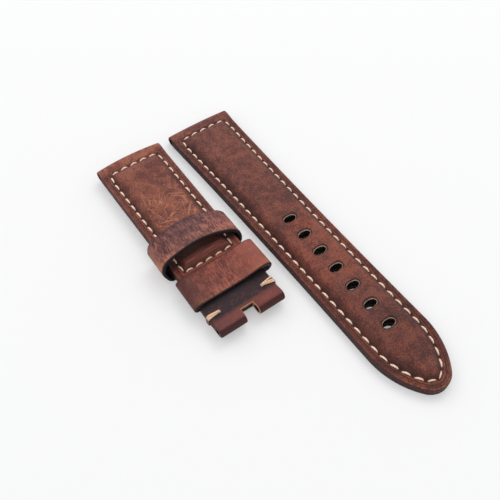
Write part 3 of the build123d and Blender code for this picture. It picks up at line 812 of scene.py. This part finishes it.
# Painted shade round the roll's front
colour = colour.toward((0.32, 0.24, 0.30), along.ease(74.5, 75.15), "MULTIPLY")
colour = edged(start, seam_worn(start, colour, creased_to=53))
# The slot's cut edge is bare tan leather
colour = colour.toward((0.60, 0.31, 0.18), cut.ease(0.05, 0.25) * (1 - cut.ease(0.55, 0.85)))
relief = relief + wrinkles * (creased * 2.0)
finished(start, shader, colour, relief, 0.46 + 0.2 * start.cloud(place, 4, 3))

buckle_edges = buckle.side(buckle.columns)


def stretch(low, high):
    """The columns of the buckle half's edge between two distances."""
    return buckle_edges[(buckle_edges[:, 1] > low - 0.01) & (buckle_edges[:, 1] < high + 0.01)]


def tab_underside(x, d):
    """The underside of the tab, which curls up a little at its edges."""
    return tab_edge * (1 - np.clip(buckle.edge(x, d) / 0.3, 0, 1)) ** 2


skin = HalfSkin(buckle)
skin.sheet(buckle_edges, rim_steps, upper_top(buckle, buckle_pairs))
skin.sheet(stretch(wrap_end, tab_start), coarse_steps, upper_underside(buckle))
skin.sheet(stretch(tab_start, roll_start), np.array([0, 0.1, 0.3, 1, 5.3]), tab_underside)
# The pocket in which the fixed keeper's strand is glued lies between two sheets, with its own ends
pocket = stretch(keeper_start, keeper_stop)
for level in (lining_top, strand_top):
    skin.sheet(pocket, coarse_steps[[0, 3, 7]], level)
skin.walls(stretch(wrap_end, flap_end), flap_wall)
skin.walls(stretch(flap_end, tab_start), stay_wall)
for low, high in ((tab_start, keeper_start), (keeper_stop, roll_start)):
    skin.walls(stretch(low, high), (2.5, 2.2, 1.8, 1.6, 1.4, 1.2, 0.8, 0.5, tab_edge))
skin.walls(pocket, (2.5, 2.35, 2.2, strand_top))
skin.walls(pocket, (lining_top, 0.9, 0.5, tab_edge))
for end in (keeper_start, keeper_stop):
    across = buckle.half_width(end) * np.linspace(-1, 1, 9)[:, None]
    skin.lay(across, end, np.linspace(lining_top, strand_top, 3))
wrap_lug(skin)


def wrap_buckle(skin):
    """The leather rolled round the buckle bar's bore, with the tongue's slot cut out of its middle."""
    bar_d, bar_z = buckle_bar
    worn = ((roll_start, 3.0), (71.6, 3.06), (slot_start, 3.13), (72.6, 3.27), (73.2, 3.42), (73.7, 3.54))
    outline = [(d, z, 0, -1) for d, z in worn]
    for t in np.linspace(pi / 2, -pi / 2, 17):
        outline.append((bar_d + bar_z * cos(t), bar_z + bar_z * sin(t), -cos(t), -sin(t)))
    outline += [(d, 0, 0, 1) for d in (73.6, 73.0, 72.5, slot_start, 71.5, roll_start)]
    d, z, inward_d, inward_z = np.array(outline).T[:, :, None]
    edge = skin.shape.half_width(d)
    rows = np.array([0, .04, .1, .2, .34, .5, .8, 1.4, 2.4, 3.6, 4.8, 6.0, 7.2, 8.1, 8.35, 8.5, 8.6, 8.66])
    steps = rows / rows[-1] * (edge - slot_half)
    from_slot, slotted = edge - slot_half - steps, d > slot_start - 0.01
    drop = rounding(steps, edge_round) + 0.16 * np.clip(1 - from_slot / 0.3, 0, 1) ** 2 * slotted
    bared = 0.4 * np.clip(1 - from_slot / 0.12, 0, 1) * slotted
    for side in (1, -1):
        skin.lay(side * (edge - steps), d + inward_d * drop, z + inward_z * drop, cut=bared)
        # The roll's cut end at the strap's edge, and then the slot's side
        for skipped, inset, raw in ((0, edge_round, 0.0), (2, 0.16, 0.4)):
            ring = np.array(outline)[skipped:len(outline) - skipped]
            rim = ring[:, :2] + ring[:, 2:] * inset
            rings = rings_to_bore(np.concatenate([rim, np.linspace(rim[-1], rim[0], 5)[1:]]), buckle_bar)
            x = slot_half + 0 * rings[..., 0] if raw else skin.shape.half_width(rings[..., 0])
            skin.lay(side * x, rings[..., 0], rings[..., 1], cut=raw * np.array([[1], [1.4], [2], [2.2]]))
        angle = np.linspace(0, 2 * pi, 33)
        across = side * np.array([[bar_half], [6], [slot_half]])
        skin.lay(across, bar_d + bore_radius * np.cos(angle), bar_z + bore_radius * np.sin(angle), cut=1.0)
    middle = np.linspace(-slot_half, slot_half, 9)[:, None]
    for places in (outline[:3], outline[-3:]):
        skin.lay(middle, np.array(places)[:, 0], np.array(places)[:, 1])
    skin.lay(middle, slot_start, np.array([0, 0.4, 1.2, 1.9, 2.3, 2.6, 2.95, 3.08, 3.13]),
             cut=np.array([0.7, 0.9, 0.9, 0.85, 0.6, 0.4, 0.35, 0.3, 0]))


wrap_buckle(skin)
piece = skin.leather_piece("buckle_half_upper_leather", buckle_leather,
                           "buckle_half", "buckle_half_upper", "upper_leather", buckle_pairs)


# The buckle half's pad, stay and lining are the same three layers as in the tail half, glued and sewn
# in the same way. The lining and the stay end at the tab, which is the upper leather's own folded end,
# and the pad ends just short of the seam across the box.

lay_layers("buckle_half", buckle, ([lining_start, corner_end, 47, tab_start], [0.3, 0.6, 0.4]),
           ([flap_end, tab_start], [0.9]), ([pad_start, pad_end], [0.6]))


# The buckle half's two threads are the same cream lockstitch, sewn round the pad through all the
# layers and closed into a box that ends just short of the fixed keeper.

sew_half("buckle_half", buckle, buckle_pairs)


# The two bar tacks are turns of tan waxed thread, tied through a hole and round each edge of the
# strap, which keep the roll closed round the buckle's bar. The left one lies as a flat bundle and
# the right one spreads.

tack_at, tack_half, lift_over = 69.3, (0.26, 0.30), 0.24

tan_thread, start, shader = new_finish("waxed_tan_thread", gloss=0.35)
ply, fluff = start.measured("cut"), start.cloud(start.place(), 1.0, 4, 0.7)
colour = fluff.ramp((0.25, (0.74, 0.45, 0.28)), (0.7, (0.93, 0.63, 0.44)))
colour = colour.toward((0.34, 0.16, 0.08), (1 - ply.ease(0.0, 0.4)) * 0.5)
# The paint on the strap's edge covers it where it goes round
height = start.measured("height_mm")
painted = height.ease(-0.3, 0.1) * (1 - height.ease(2.5, 3.1)) * 0.85
colour = colour.toward((0.085, 0.030, 0.024), painted)
finished(start, shader, colour, fluff, 0.55 + 0.15 * fluff, 0.00006)


def smooth(points, closed=False):
    """An even curve through given points, in eight steps between each two."""
    points = np.array(points, float)
    if closed:
        around = np.concatenate([points[-2:], points, points[:3]])
    else:
        around = np.concatenate([[2 * points[0] - points[1]], points, [2 * points[-1] - points[-2]]])
    share = np.linspace(0, 1, 9)[:-1, None]
    runs = []
    for a, b, c, e in zip(around, around[1:], around[2:], around[3:]):
        bend, twist = 2 * a - 5 * b + 4 * c - e, 3 * b - a - 3 * c + e
        runs.append(0.5 * (2 * b + (c - a) * share + bend * share**2 + twist * share**3))
    curve = np.concatenate(runs)
    return np.concatenate([curve[8:-8], curve[8:9]]) if closed else np.concatenate([curve, points[-1:]])


def tack_turn(at_edge, at_hole, lift):
    """One turn of a tack: up through its hole, out over the top, round the edge and back underneath."""
    return smooth([
        (7.25, at_hole * 0.5, 1.9), (7.2, at_hole * 0.8, 2.85), (7.5, at_hole, 3.25 + lift),
        (8.6, at_hole * 0.7 + at_edge * 0.3, 3.28 + lift), (10.2, at_edge * 0.9, 3.22 + lift),
        (10.95, at_edge, 2.98 + lift * 0.5), (11.38, at_edge, 2.3), (11.36, at_edge, 1.0),
        (11.32, at_edge, 0.2), (10.9, at_edge, -0.2 - lift), (10.0, at_edge * 0.9, -0.26 - lift),
        (8.3, at_hole, -0.26 - lift), (7.4, at_hole, -0.1 - lift * 0.5), (7.25, at_hole * 0.6, 0.7)])


for name, side, turns in (("left", -1, ((-0.44, -0.16), (0.0, 0.0), (0.42, 0.16), (-0.2, 0.05))),
                          ("right", 1, ((-0.75, -0.2), (0.75, 0.15), (0.3, 0.1)))):
    skin = Skin(buckle.seat)
    for index, (at_edge, at_hole) in enumerate(turns):
        last = index == len(turns) - 1
        path = tack_turn(at_edge, at_hole, lift_over if last else 0.0) * (side, 1, 1) + (0, tack_at, 0)
        strand(skin, path, (0, side, 0), tack_half, np.ones(len(path)))
    heights = [("height_mm", [z for x, d, z in skin.points])]
    skin.made(f"bar_tack_{name}_thread", tan_thread,
              "buckle_half", f"bar_tack_{name}", "tack_thread", heights)


# The fixed keeper is a band of the same leather round the strap just beyond the box seam. It is nearly
# flat, and its strand under the strap is pared thin and glued between the upper leather and the tab.

def bend_band(name, finish, body, node, outline, start, stop, walls, lean=0.0):
    """A keeper's band, bent to a closed outline above the table, with rounded edges."""
    skin, curve = Skin((*buckle.seat[:2], 0.0)), smooth(outline, closed=True)
    curve[:, 1] = np.maximum(curve[:, 1], np.min(outline, axis=0)[1])
    along = np.gradient(np.concatenate([curve[-3:-1], curve, curve[1:3]]), axis=0)[2:-2]
    along /= np.linalg.norm(along, axis=1)[:, None]
    inward = np.stack([along[:, 1], -along[:, 0]], 1)
    wall = walls(curve[:, 0], curve[:, 1])[:, None]
    width, turn, soft = stop - start, np.linspace(0, pi / 2, 6), 0.34
    corner = np.stack([soft - soft * np.sin(turn), soft - soft * np.cos(turn)], 1)
    flat = np.stack([np.linspace(0.8, width - 0.8, 12), np.zeros(12)], 1)
    outer = np.concatenate([corner[::-1], flat, np.stack([width - corner[:, 0], corner[:, 1]], 1)])
    inner = np.stack([np.linspace(width - 0.1, 0.1, 9), np.ones(9)], 1)
    down, depth = np.concatenate([outer, inner, outer[:1]]).T
    within = np.concatenate([np.zeros(len(outer)), np.ones(9), [0]])
    depth = np.where(within > 0, wall, np.minimum(depth, wall * 0.5))
    x, z = curve[:, :1] + inward[:, :1] * depth, curve[:, 1:] + inward[:, 1:] * depth
    skin.lay(x, start + down - lean * z + 0 * x, z)
    from_edge = np.where(within > 0, 0, np.minimum(down, width - down)) + 0 * x
    noted = (("edge_mm", from_edge), ("height_mm", z), ("along_mm", start + down + 0 * x), ("across_mm", x))
    skin.made(name, finish, body, node, "keeper_leather", [(note, values.ravel()) for note, values in noted])


fixed_leather, start, shader, colour, relief = leather(
    "fixed_keeper_leather", (0.115, 0.026, 0.020), (0.188, 0.044, 0.031), (0.310, 0.084, 0.056),
    brushed=0.34, turn=0.1, patch=8.0)
# Paler to the right, darker to the left, and rubbed along its front
across, black_paint = start.measured("across_mm"), (0.026, 0.014, 0.016)
colour = colour.toward((0.37, 0.100, 0.068), across.ease(0, 12) * 0.55)
colour = colour.toward((0.058, 0.017, 0.015), (1 - across.ease(-13, -2)) * 0.72)
rubbed = start.measured("along_mm").ease(61.8, 64.6) * start.cloud(start.place(), 3, 3).ease(0.3, 0.55)
colour = colour.toward((1.35, 1.55, 1.25), rubbed * 0.8, "MULTIPLY")
colour = colour.toward(black_paint, 1 - start.measured("edge_mm").ease(0.1, 0.5))
finished(start, shader, colour, relief, 0.44 + 0.2 * start.cloud(start.place(), 5, 3))

fixed_outline = [
    (-11.5, 2.7), (-12.55, 3.1), (-13.0, 4.1), (-12.6, 5.25), (-11, 5.85), (-8, 5.95), (-4, 5.9), (0, 5.9),
    (4, 6.05), (7, 6.4), (9.5, 6.8), (11.6, 6.85), (13.2, 6.3), (13.9, 5.2), (13.8, 4.0), (13.1, 3.05),
    (11.8, 2.7), (8, 2.7), (3, 2.7), (-3, 2.7), (-8, 2.7)]
bend_band("fixed_keeper_band", fixed_leather, "buckle_half", "fixed_keeper", fixed_outline,
          keeper_start, keeper_stop, lambda x, z: 0.8 + 0.5 * np.clip((z - 2.75) / 0.8, 0, 1))


# The free keeper is a loose leather band that slides along the buckle half. Its foot passes under the
# strap, its arch stands clear above it, and its two pared ends are glued over each other underneath.
# Its edges are painted black.

free_leather, start, shader, colour, relief = leather(
    "free_keeper_leather", (0.070, 0.022, 0.022), (0.175, 0.056, 0.048), (0.340, 0.125, 0.098),
    brushed=0.45, turn=0.1, patch=8.0)
across, along, black_paint = start.measured("across_mm"), start.measured("along_mm"), (0.014, 0.011, 0.012)
# Rubbed tan where it bends down at the left, bluest before its crest, and paler towards its front
colour = colour.toward((0.310, 0.120, 0.078), (1 - across.ease(-14.3, -12.2)) * 0.55)
colour = colour.toward((0.088, 0.036, 0.042), across.ease(-11, -5) * (1 - across.ease(-1, 5)) * 0.4)
rubbed = along.ease(45.5, 49.0) * start.cloud(start.place(), 4, 3).ease(0.25, 0.55)
colour = colour.toward((1.45, 1.42, 1.20), rubbed, "MULTIPLY")
colour = colour.toward((0.78, 0.78, 0.86), 1 - along.ease(41.8, 44.0), "MULTIPLY")
colour = colour.toward(black_paint, 1 - start.measured("edge_mm").ease(0.12, 0.5))
finished(start, shader, colour, relief, 0.46 + 0.2 * start.cloud(start.place(), 5, 3))

free_start, free_stop = 41.1, 50.5
free_outline = [
    (0, 0), (-4, 0), (-8, 0), (-11.1, .03), (-12.45, .55), (-13.25, 1.6), (-13.75, 2.8), (-14.2, 4.1),
    (-14.45, 5.7), (-14.1, 7.5), (-13.35, 8.9), (-12.0, 10.05), (-10.2, 10.7), (-7.3, 11.4), (-3.9, 11.9),
    (-0.5, 11.95), (2.9, 11.35), (6.2, 10.25), (9.6, 8.65), (11.6, 7.2), (12.8, 5.6), (13.35, 3.9),
    (13.45, 2.3), (13.1, 0.8), (12.2, .08), (10.8, 0), (7, 0), (3.5, 0)]


def free_walls(x, z):
    """The leather's thickness, worn thinner beside the strap's edges and thinnest in its lower corners."""
    return 1.2 - np.clip(np.abs(x) - 10.8, 0, 1) * np.interp(z, [1.7, 3.2, 5.2, 6.5], [0.4, 0.18, 0.18, 0])


bend_band("free_keeper_band", free_leather, "free_keeper", "free_keeper", free_outline,
          free_start, free_stop, free_walls, lean=0.077)

size = {"cad": [list(corner) for corner in cad_box], "visual": [list(corner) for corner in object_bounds()]}
